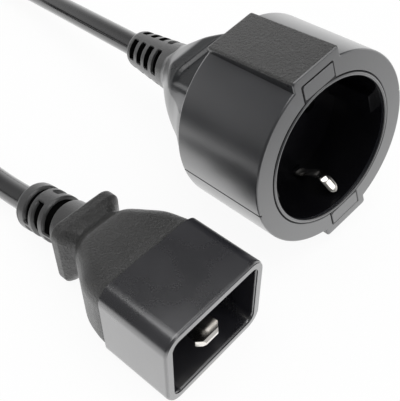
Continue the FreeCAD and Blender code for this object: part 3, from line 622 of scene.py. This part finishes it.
GRIP_STATIONS = [
    # behind the mouth, width, height, corner
    (20.8, 32.6, 24.2, 5.0),
    (24.0, 32.5, 23.2, 5.5),
    (28.5, 30.1, 22.8, 5.5),
    (32.5, 25.4, 22.2, 5.5),
    (36.6, 20.2, 20.8, 5.2),
    (39.4, 15.6, 17.0, 4.2),
    (41.2, 17.2, 17.6, 3.8),
    (42.2, 19.4, 19.2, 3.4),
]
GRIP_STEPS = 7              # rings between two stations
GRIP_GAP = 0.35             # between the shroud and the grip
GRIP_NECK = 0.7             # depth of that gap
GRIP_EDGE = 0.15            # how far the grip's front edge is broken
GRIP_EDGE_LENGTH = 0.1      # and over what length
COLLAR_FRONT = 42.6
COLLAR_SIZE = (20.6, 20.2, 3.4)
COLLAR_EDGE = 1.0
COLLAR_BAND = 2.0           # width of the flat band round the collar's back

PLUG_RIM = (33.0, 25.0, 4.3)            # width, height and corner
PLUG_RIM_BAND = 2.03
PLUG_RIM_PROUD = 0.06
# (x, inset) of the land's wall, from inside the plug to its face
PLUG_RIM_STEPS = ((-0.9, 0.12), (0.0, 0.12), (PLUG_RIM_PROUD, 0.2))


def make_grip():
    """The tapering hand grip with its waist, cove and collar."""
    front, *start = GRIP_STATIONS[0]
    rings = [(-front, drawn_in(start, GRIP_NECK, GRIP_NECK)),
             (-front - GRIP_GAP, drawn_in(start, GRIP_NECK, GRIP_NECK)),
             (-front - GRIP_GAP, drawn_in(start, GRIP_EDGE, GRIP_EDGE))]
    for at, *size in spline_between(GRIP_STATIONS, GRIP_STEPS):
        if at > front + GRIP_GAP + GRIP_EDGE_LENGTH:
            rings.append((-at, rounded_outline(*size)))
    for inset, behind in rounding(COLLAR_EDGE / 2, 3)[1:]:
        rings.append((-COLLAR_FRONT - behind, drawn_in(COLLAR_SIZE, inset, 0)))
    for inset, behind in reversed(rounding(COLLAR_EDGE, 5)):
        rings.append((-COLLAR_BACK + behind, drawn_in(COLLAR_SIZE, inset, 0)))
    rings.append((-COLLAR_BACK, drawn_in(COLLAR_SIZE, COLLAR_BAND, COLLAR_BAND / 2)))
    return finish_piece("plug_grip", loft(rings, PLUG), [MOULD], 60.0)


def make_plug_rim():
    """The flat land round the plug's mouth, between the rounded edges of its wall."""
    rings = []
    for x, inset in PLUG_RIM_STEPS:
        within = PLUG_RIM_BAND - inset
        rings.append((x, drawn_in(PLUG_RIM, within, within)))
    for x, inset in reversed(PLUG_RIM_STEPS):
        rings.append((x, drawn_in(PLUG_RIM, inset, inset)))
    mesh = loft(rings, PLUG, hollow=True)
    return finish_piece("plug_rim", mesh, [SHROUD], 30.0)


# ------------------------------------------------------------------ strain reliefs

SLOT_CORNER = 0.55          # radius of a slot's corners, seen from outside
SLOT_WALL = 0.5             # how far a slot's wall leans over its rounded edge
SLEEVE_COLUMNS = 252
CORD_CLEARANCE = 0.03
HOLE_EDGE = 0.2             # how far the cord's hole widens at the very back
HOLE_DEPTH = 0.3            # over this length

# (x, radius) along each sleeve, from its front to its back
RELIEF_STATIONS = [(1.0, 7.0), (-21.2, 7.0)]
TAIL_STATIONS = [(-60.0, 8.1), (-62.0, 8.0), (-84.5, 6.1)]

RELIEF_FLOOR = 5.0          # radius of the floor of a slot
RELIEF_SLOTS = [
    # front, width, middle in degrees, spread in degrees; each has one opposite
    (5.4, 3.2, 0, 170),
    (10.8, 2.6, 90, 140),
    (15.1, 1.9, 0, 170),
]

TAIL_FLOOR = 4.3
TAIL_SLOT_FRONT = 66.2
TAIL_SLOT_PITCH = 4.45
TAIL_SLOT_WIDTH = 2.1
TAIL_SLOT_SPREAD = 60       # in degrees


def slot_depth(behind, angle, radius, slots):
    """How deep in its slot a place lies: 0 outside, 1 on the floor."""
    depth = 0.0
    for front, width, middle, spread in slots:
        along = abs(behind - front - width / 2) - width / 2
        off = abs((angle - middle + 180) % 360 - 180)
        around = math.radians(off - spread / 2) * radius
        outside = math.hypot(max(along + SLOT_CORNER, 0), max(around + SLOT_CORNER, 0))
        edge = outside + min(max(along, around) + SLOT_CORNER, 0) - SLOT_CORNER
        depth = max(depth, eased(0.5 - edge / SLOT_WALL))
    return depth


def slotted_sleeve(name, place, profile, slots, floor_radius, dark_from):
    """A turned sleeve with slots cut round it, dark from a share of their depth.

    The profile lists (x, radius) from front to back. A slot is (front, width, middle,
    spread): its angles run from +Z towards +Y. Its walls drop to the floor radius over
    a rounded edge.
    """
    rings = []
    depths = []
    for x, radius in profile:
        outline = []
        for column in range(SLEEVE_COLUMNS):
            angle = 360 * column / SLEEVE_COLUMNS
            depth = slot_depth(-x, angle, radius, slots)
            reach = radius - max(radius - floor_radius, 0) * depth
            way = math.radians(angle)
            outline.append((reach * math.sin(way), reach * math.cos(way)))
            depths.append(depth)
        rings.append((x, outline))
    mesh = loft(rings, place)
    mesh.verts.index_update()
    for face in mesh.faces:
        sunken = any(depths[corner.index] > dark_from for corner in face.verts)
        face.material_index = 1 if sunken else 0
    return finish_piece(name, mesh, [RELIEF_RUBBER, SLOT_SHADE], 75.0)


def turned_profile(stations, step, end_round):
    """Rows of (x, radius) at an even step, with a rounded back edge round the cord."""
    rows = []
    back, back_radius = stations[-1]
    for (x, radius), (next_x, next_radius) in zip(stations, stations[1:]):
        count = max(1, round(abs(next_x - x) / step))
        for index in range(count):
            t = index / count
            rows.append((x + (next_x - x) * t, radius + (next_radius - radius) * t))
    rows = [(x, radius) for x, radius in rows if x > back + end_round]
    for inset, behind in reversed(rounding(end_round, 6)):
        rows.append((back + behind, back_radius - inset))
    hole = CORD_DIAMETER / 2 + CORD_CLEARANCE
    rows.append((back, hole + HOLE_EDGE))
    rows.append((back + HOLE_DEPTH, hole))
    return rows


def make_plug_relief():
    """The plug's strain relief: slots over the top and bottom, one pair at the sides."""
    slots = []
    for front, width, middle, spread in RELIEF_SLOTS:
        slots += [(front, width, middle, spread), (front, width, middle + 180, spread)]
    profile = turned_profile(RELIEF_STATIONS, step=0.2, end_round=1.4)
    return slotted_sleeve("plug_relief", RELIEF, profile, slots, RELIEF_FLOOR,
                          dark_from=0.55)


def make_socket_tail():
    """The socket's long strain relief, with four rings of four slots."""
    slots = []
    for ring in range(4):
        front = TAIL_SLOT_FRONT + TAIL_SLOT_PITCH * ring
        for middle in (45, 135, 225, 315):
            slots.append((front, TAIL_SLOT_WIDTH, middle, TAIL_SLOT_SPREAD))
    profile = turned_profile(TAIL_STATIONS, step=0.22, end_round=1.2)
    return slotted_sleeve("socket_tail", SOCKET, profile, slots, TAIL_FLOOR,
                          dark_from=0.3)


# ------------------------------------------------------------ socket's case and dome

MOUTH_RING = (20.95, 10.7, 50.7)        # pocket radius, tab width, height over both tabs
CASE_FRONT = (26.3, 15.4, 56.0)         # radius, and width and height over the blocks
CASE_REAR = (26.9, 15.8, 54.8)
CASE_LENGTH = 29.7
CASE_RINGS = 6
CASE_FACE_EDGE = 0.5
CASE_REAR_EDGE = 0.8
CASE_REAR_HOLE = (25.0, 24.6, 1.0)      # under the dome: radius at the rear and inside, depth
BLOCK_CORNER = 0.7
BLOCK_FROM = 24.5           # faces farther than this from the axis are a block's
BLOCK_MARGIN = 0.05
BLOCK_FRONT = 0.3           # behind the mouth, where a block's own texture starts
WALL_TURN = 0.9             # a face turned sideways by more than this is a block's side, which gets painted shade
SEAM_DEPTH = 0.4
TAB_DEPTH = 3.0
TAB_CORNER = 0.4
POCKET_DEPTH = 24.0
LIP_BEVEL = 0.15
LIP_CORNER = 0.5

DOME_STATIONS = [
    # behind the mouth, radius
    (28.9, 25.4),
    (30.4, 25.5),
    (33.0, 24.4),
    (36.0, 22.6),
    (39.0, 20.9),
    (42.0, 19.5),
    (45.0, 18.2),
    (48.0, 16.7),
    (51.0, 15.0),
    (54.0, 13.1),
    (57.0, 11.1),
    (59.4, 9.5),
    (61.0, 8.5),
    (62.6, 8.0),
]
DOME_STEPS = 6
DOME_COLUMNS = 360
FLAT_HEIGHT = 11.0          # flats above and below the dome, from the axis
FLAT_BACK = 54.2
FLAT_FALL = 0.40            # slope of the dome's back behind each flat
FLAT_BLEND = 0.7            # softness of the edge between flat and dome
FLAT_BACK_BLEND = 0.5
FLAT_HALF = 13.4            # half its width, past which the dome is whole
FLAT_RUN_OUT = 4            # how far round the flat runs out past that, in degrees
FIELD_BACK = 49.9           # a sunk field in each flat
FIELD_MARGIN = 1.5
FIELD_DEPTH = 0.7
FIELD_CORNER = 4.0
FIELD_WALL = 0.7            # how far the field's wall leans
RIDGE_HALF = 0.35           # a fine ridge round the field
RIDGE_RISE = 0.12
FLAT_LEAST_RISE = 0.05      # where the dome's wall faces up less than this, it has no flat
LABEL_SIDE = 0.5            # how far the label's finish reaches past a flat's side
LABEL_DEPTH = 1.2           # and below the flat, into its sunk field


def case_at(share, inset=0.0):
    """The case's outline between its front (0) and its rear (1)."""
    radius, width, height = (a + (b - a) * share for a, b in zip(CASE_FRONT, CASE_REAR))
    return keyed_outline(radius - inset, width - inset * 2, height - inset * 2, BLOCK_CORNER,
                         SEAM_DEPTH)


def make_case():
    """The casing's front half: mouth ring, pocket and two keyed blocks."""
    pocket, tab_width, tab_height = MOUTH_RING
    inner = keyed_outline(pocket, tab_width, tab_height, TAB_CORNER)
    bored = onto_circle(inner, pocket)
    rings = [(-POCKET_DEPTH, bored), (-TAB_DEPTH, bored), (-TAB_DEPTH, inner)]
    for inset, _ in rounding(LIP_BEVEL, 2):
        wider = LIP_BEVEL - inset
        rings.append((-inset, keyed_outline(pocket + wider, tab_width + wider * 2,
                                            tab_height + wider * 2, LIP_CORNER)))
    for inset, behind in rounding(CASE_FACE_EDGE):
        rings.append((-behind, case_at(0.0, inset)))
    for ring in range(1, CASE_RINGS):
        share = ring / CASE_RINGS
        rings.append((-CASE_LENGTH * share, case_at(share)))
    for inset, behind in reversed(rounding(CASE_REAR_EDGE, 5)):
        rings.append((-CASE_LENGTH + behind, case_at(1.0, inset)))
    rear_hole, inner_hole, depth = CASE_REAR_HOLE
    rings.append((-CASE_LENGTH, onto_circle(case_at(1.0), rear_hole)))
    rings.append((-CASE_LENGTH + depth, onto_circle(case_at(1.0), inner_hole)))
    mesh = loft(rings, SOCKET)
    half = CASE_REAR[1] / 2 + BLOCK_MARGIN
    to_mouth = SOCKET.inverted()
    for face in mesh.faces:
        middle = to_mouth @ face.calc_center_median()
        behind_front = -CASE_LENGTH * MM < middle.x < -BLOCK_FRONT * MM
        raised = behind_front and abs(middle.y) < half * MM and abs(middle.z) > BLOCK_FROM * MM
        # a block's sides get the darker label material as painted shade
        wall = raised and abs((to_mouth.to_3x3() @ face.normal).y) > WALL_TURN
        face.material_index = 2 if wall else 1 if raised else 0
    return finish_piece("socket_body", mesh, [CASE, BLOCK, LABEL_FLAT_AND_WALL_SHADE], 35.0)


def soft_least(first, second, softness):
    """The smaller of two values, with the change between them rounded off."""
    share = held(0.5 + 0.5 * (second - first) / softness)
    return second + (first - second) * share - softness * share * (1 - share)


def dome_reach(back, radius, way):
    """How far the dome reaches at a place, with its flats and their sunk fields."""
    rise = abs(math.cos(way))
    if rise < FLAT_LEAST_RISE:
        return radius
    fall = max(0.0, back - FLAT_BACK) * FLAT_FALL
    flat = soft_least(FLAT_HEIGHT, FLAT_HEIGHT - fall, FLAT_BACK_BLEND)
    reach = soft_least(radius, flat / rise, FLAT_BLEND)
    past = math.degrees(math.acos(rise) - math.atan(FLAT_HALF / FLAT_HEIGHT))
    reach += (radius - reach) * eased(past / FLAT_RUN_OUT)
    half = math.sqrt(max(radius * radius - FLAT_HEIGHT * FLAT_HEIGHT, 0))
    to_back = FIELD_BACK - back
    to_side = min(half, FLAT_HALF) - FIELD_MARGIN - abs(math.sin(way)) * reach
    inside = min(to_back, to_side)
    if to_back < FIELD_CORNER and to_side < FIELD_CORNER:
        inside = FIELD_CORNER - math.hypot(FIELD_CORNER - to_back, FIELD_CORNER - to_side)
    sunk = held(inside / FIELD_WALL)
    ridge = max(0.0, 1 - abs(inside + RIDGE_HALF) / RIDGE_HALF)
    return reach - (FIELD_DEPTH * sunk - RIDGE_RISE * ridge) / rise


def make_dome():
    """The round back of the socket, with a flat for a label above and below."""
    rings = []
    for back, radius in spline_between(DOME_STATIONS, DOME_STEPS):
        outline = []
        for column in range(DOME_COLUMNS):
            way = math.tau * column / DOME_COLUMNS
            reach = dome_reach(back, radius, way)
            outline.append((reach * math.sin(way), reach * math.cos(way)))
        rings.append((-back, outline))
    mesh = loft(rings, SOCKET)
    to_mouth = SOCKET.inverted()
    for face in mesh.faces:
        middle = to_mouth @ face.calc_center_median() / MM
        level = FLAT_HEIGHT - LABEL_DEPTH < abs(middle.z) < FLAT_HEIGHT + RIDGE_RISE
        on_flat = level and abs(middle.y) < FLAT_HALF + LABEL_SIDE and middle.x > -FLAT_BACK
        face.material_index = 1 if on_flat else 0
    return finish_piece("socket_dome", mesh, [DOME, LABEL_FLAT_AND_WALL_SHADE], 55.0)


# ------------------------------------------------------ socket's clips, lip and tabs

CLIP_PATH = [
    # behind the mouth, distance from the axis
    (17.3, 19.2),
    (15.3, 18.6),
    (13.0, 17.1),
    (10.8, 15.7),
    (8.9, 14.9),
    (7.2, 14.9),
    (5.7, 15.6),
    (4.5, 16.6),
    (3.6, 17.5),
    (2.9, 18.4),
]
CLIP_STEPS = 5
CLIP_TIP_STEPS = 8          # rings over which the tip is rounded
CLIP_WIDTH = 3.0
CLIP_THICKNESS = 0.7
CLIP_TIP_LEAST = 0.02       # keeps the last ring from shrinking to a point
CLIP_ASIDE = 0.45           # off the socket's middle
# (across, level): shares of half the width and of the thickness, round the strip
CLIP_SECTION = ((-1, -0.2), (-0.8, -0.5), (0.8, -0.5), (1, -0.2), (1, 0.2), (0.8, 0.42),
                (0.4, 0.5), (0, 0.53), (-0.4, 0.5), (-0.8, 0.42), (-1, 0.2))

WELL_LIP_INNER = 19.72
WELL_LIP_OUTER = 20.72
WELL_LIP_PROUD = 0.16
WELL_LIP_SHOULDER = 0.35    # behind the mouth, where the rounding starts
WELL_LIP_DEPTH = 0.9
WELL_LIP_STEPS = 8
WELL_LIP_TURNS = 144

TAB_PLATE = (9.9, 20.9, 25.0, 0.45)     # width, from and to, from the axis, and corner
TAB_PROUD = 0.08
TAB_EDGE = 0.12             # bevel round the plate's face
TAB_BEHIND = 0.5            # how deep the plate is let in


def make_clips():
    """The two sprung earth clips, rounded at their tips, over the strap between them."""
    strips = []
    for side in (1, -1):
        path = spline_between(CLIP_PATH, CLIP_STEPS)
        last = len(path) - 1
        rings = []
        for index, (back, out) in enumerate(path):
            before = path[max(index - 1, 0)]
            after = path[min(index + 1, last)]
            along = Vector((before[0] - after[0], 0, after[1] - before[1])).normalized()
            outward = Vector((-along.z, 0, along.x))
            from_tip = min(1, (last - index) / CLIP_TIP_STEPS)
            wide = max(1 - (1 - from_tip) ** 2, CLIP_TIP_LEAST)
            half = CLIP_WIDTH / 2 * math.sqrt(wide)
            ring = []
            for share, level in CLIP_SECTION:
                point = (Vector((-back, CLIP_ASIDE + share * half, out))
                         - outward * level * CLIP_THICKNESS)
                ring.append((point.x, point.y, point.z * side))
            rings.append(ring)
        strips.append(rings)
    return finish_piece("earth_clips", skins(strips, SOCKET), [NICKEL], 50.0)


def make_well_lip():
    """The insert's rounded rim, which stands a little proud of the mouth."""
    middle = (WELL_LIP_INNER + WELL_LIP_OUTER) / 2
    half = (WELL_LIP_OUTER - WELL_LIP_INNER) / 2
    section = [(-WELL_LIP_DEPTH, WELL_LIP_INNER), (-WELL_LIP_SHOULDER, WELL_LIP_INNER)]
    for step in range(1, WELL_LIP_STEPS):
        way = math.radians(180 - 180 * step / WELL_LIP_STEPS)
        height = (WELL_LIP_PROUD + WELL_LIP_SHOULDER) * math.sin(way)
        section.append((height - WELL_LIP_SHOULDER, middle + half * math.cos(way)))
    section += [(-WELL_LIP_SHOULDER, WELL_LIP_OUTER), (-WELL_LIP_DEPTH, WELL_LIP_OUTER)]
    rings = []
    for turn in range(WELL_LIP_TURNS):
        way = math.tau * turn / WELL_LIP_TURNS
        rings.append([(x, out * math.cos(way), out * math.sin(way)) for x, out in section])
    mesh = skins([rings], SOCKET, hollow=True)
    return finish_piece("well_lip", mesh, [CASE], 50.0)


def make_tab_plates():
    """The flat ends of the insert's two tabs, with a fine gap round each."""
    width, inner, outer, corner = TAB_PLATE
    height = outer - inner
    middle = (outer + inner) / 2
    outline = rounded_outline(width, height, corner, 4)
    strips = []
    for side in (1, -1):
        rings = []
        for x, inset in ((-TAB_BEHIND, 0.0), (TAB_PROUD - TAB_EDGE, 0.0), (TAB_PROUD, TAB_EDGE)):
            share_y = 1 - 2 * inset / width
            share_z = 1 - 2 * inset / height
            rings.append([(x, y * share_y, side * (middle + z * share_z)) for y, z in outline])
        strips.append(rings)
    return finish_piece("tab_plates", skins(strips, SOCKET), [CASE], 30.0)


# --------------------------------------------------------------------- the pieces

grip = make_grip()
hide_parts("plug_overmould")
make_plug_relief()
body = make_case()
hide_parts("socket_overmould")
socket_dome = make_dome()
socket_tail = make_socket_tail()
earth_clips = make_clips()
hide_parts("socket_earth_strap")
well_lip = make_well_lip()
tab_plates = make_tab_plates()
make_plug_rim()

# ----------------------------------------------------------- the socket's pieces

socket_pieces = [body, socket_dome, socket_tail, well_lip, tab_plates, earth_clips]
socket_pieces += [frame["nodes"][name] for name in sorted(frame["nodes"])
                  if name.startswith("socket_")
                  and name not in ("socket_overmould", "socket_earth_strap")]

# --------------------------------------------------------------- floor and lights

BACK_HEADING = 110          # where the room is brightest, in degrees from +X to +Y
BACK_LIGHT = 1.15
FRONT_LIGHT = 0.12
OVERHEAD_LIGHT = 0.04
MATT_LIGHT = 0.7            # the world's level for everything that isn't glossy
LEAST_REACH = 0.0001        # a direction straight up has no heading to divide by
BAND_TOP = (0.1, 0.73)      # the bright band fades out between these upward directions

FLOOR_SIZE = 3.0            # half the table's side, in metres
FLOOR_WHITE = (0.9, 0.9, 0.9, 1)
FLOOR_CAMERA_SHARE = 0.93   # how much of the table's white the camera sees unshaded
FLOOR_NEAR = 0.055          # the mirrored table fades between these distances, in metres
FLOOR_FAR = 0.175
FLOOR_NEAR_LIGHT = 1.1
FLOOR_FRONT_SHARE = 0.3     # of FRONT_LIGHT, at the table's far front


def make_room_heading():
    """How far a direction turns from the room's dim front (0) to its bright back (1)."""
    group, into, out = new_group(
        "room_heading",
        [("Direction", "NodeSocketVector", None), ("From", "NodeSocketFloat", -0.75),
         ("To", "NodeSocketFloat", 0.8)],
        [("Back", "NodeSocketFloat")])
    split = group.nodes.new("ShaderNodeSeparateXYZ")
    group.links.new(into.outputs["Direction"], split.inputs[0])
    x, y = split.outputs["X"], split.outputs["Y"]
    reach = math_node(group, "ADD", math_node(group, "MULTIPLY", x, x),
                      math_node(group, "MULTIPLY", y, y))
    reach = math_node(group, "ADD", math_node(group, "SQRT", reach), LEAST_REACH)
    heading = math.radians(BACK_HEADING)
    along = math_node(group, "ADD", math_node(group, "MULTIPLY", x, math.cos(heading)),
                      math_node(group, "MULTIPLY", y, math.sin(heading)))
    turned = math_node(group, "DIVIDE", along, reach)
    back = range_node(group, turned, into.outputs["From"], into.outputs["To"], 0.0, 1.0)
    group.links.new(back, out.inputs["Back"])
    return group


ROOM_HEADING = make_room_heading()


def make_floor():
    """A white table that the camera sees as plain white, with the object's shadow.

    Glossy surfaces see it bright near the object and dimmer away from it, most of all
    towards the front.
    """
    mesh = bmesh.new()
    bmesh.ops.create_grid(mesh, x_segments=1, y_segments=1, size=FLOOR_SIZE)
    data = bpy.data.meshes.new("floor")
    mesh.to_mesh(data)
    mesh.free()
    floor = add_object("floor", data)
    material = bpy.data.materials.new("white_table")
    material.use_nodes = True
    tree = material.node_tree
    tree.nodes.clear()
    output = tree.nodes.new("ShaderNodeOutputMaterial")
    paint = tree.nodes.new("ShaderNodeBsdfDiffuse")
    paint.inputs["Color"].default_value = FLOOR_WHITE
    glow = tree.nodes.new("ShaderNodeEmission")
    rays = tree.nodes.new("ShaderNodeLightPath")
    heading = place_group(tree, ROOM_HEADING, From=-0.3, To=0.9)
    place_input(tree, heading.inputs["Direction"])
    far = range_node(tree, heading.outputs["Back"], 0.0, 1.0, FRONT_LIGHT * FLOOR_FRONT_SHARE,
                     BACK_LIGHT, smooth=False)
    away = tree.nodes.new("ShaderNodeVectorMath")
    away.operation = "LENGTH"
    place_input(tree, away.inputs[0])
    mirrored = range_node(tree, away.outputs["Value"], FLOOR_NEAR, FLOOR_FAR, FLOOR_NEAR_LIGHT,
                          far)
    strength = blend(tree, "FLOAT", rays.outputs["Is Glossy Ray"], 1.0, mirrored)
    tree.links.new(strength, glow.inputs["Strength"])
    by_camera = math_node(tree, "MULTIPLY", rays.outputs["Is Camera Ray"], FLOOR_CAMERA_SHARE)
    seen = math_node(tree, "ADD", by_camera, rays.outputs["Is Glossy Ray"], clamp=True)
    share = tree.nodes.new("ShaderNodeMixShader")
    tree.links.new(seen, share.inputs[0])
    tree.links.new(paint.outputs[0], share.inputs[1])
    tree.links.new(glow.outputs[0], share.inputs[2])
    tree.links.new(share.outputs[0], output.inputs[0])
    data.materials.append(material)


def make_world():
    """White to the camera, plain for matt surfaces, and a room in glossy ones.

    The room is bright low at the back and dim overhead and in front.
    """
    world = bpy.data.worlds.new("studio")
    bpy.context.scene.world = world
    world.use_nodes = True
    tree = world.node_tree
    tree.nodes.clear()
    output = tree.nodes.new("ShaderNodeOutputWorld")
    rays = tree.nodes.new("ShaderNodeLightPath")
    split = tree.nodes.new("ShaderNodeSeparateXYZ")
    place_input(tree, split.inputs[0], "Generated")
    heading = place_group(tree, ROOM_HEADING)
    place_input(tree, heading.inputs["Direction"], "Generated")
    low_band = range_node(tree, split.outputs["Z"], *BAND_TOP, BACK_LIGHT, OVERHEAD_LIGHT)
    room = range_node(tree, heading.outputs["Back"], 0.0, 1.0, FRONT_LIGHT, low_band,
                      smooth=False)
    level = blend(tree, "FLOAT", rays.outputs["Is Glossy Ray"], MATT_LIGHT, room)
    strength = blend(tree, "FLOAT", rays.outputs["Is Camera Ray"], level, 1.0)
    background = tree.nodes.new("ShaderNodeBackground")
    background.inputs["Color"].default_value = (1, 1, 1, 1)
    tree.links.new(strength, background.inputs["Strength"])
    tree.links.new(background.outputs[0], output.inputs[0])


def softbox(name, place, aim, size, power):
    """A square area lamp that looks at a point, placed in metres."""
    lamp = bpy.data.lights.new(name, "AREA")
    lamp.shape = "SQUARE"
    lamp.size = size
    lamp.energy = power
    holder = add_object(name, lamp)
    holder.location = place
    holder.rotation_euler = (Vector(aim) - Vector(place)).to_track_quat("-Z", "Y").to_euler()


make_floor()
make_world()
middle = (cad_low + cad_high) / 2
softbox("front_softbox", (0.62, 0.17, 0.66), middle, size=0.4, power=0.9)
softbox("top_softbox", (0.0, 0.0, 0.9), middle, size=0.72, power=3.0)

bpy.context.scene.view_settings.view_transform = "Standard"

# ------------------------------------------------------------------------- finish

bpy.context.view_layer.update()
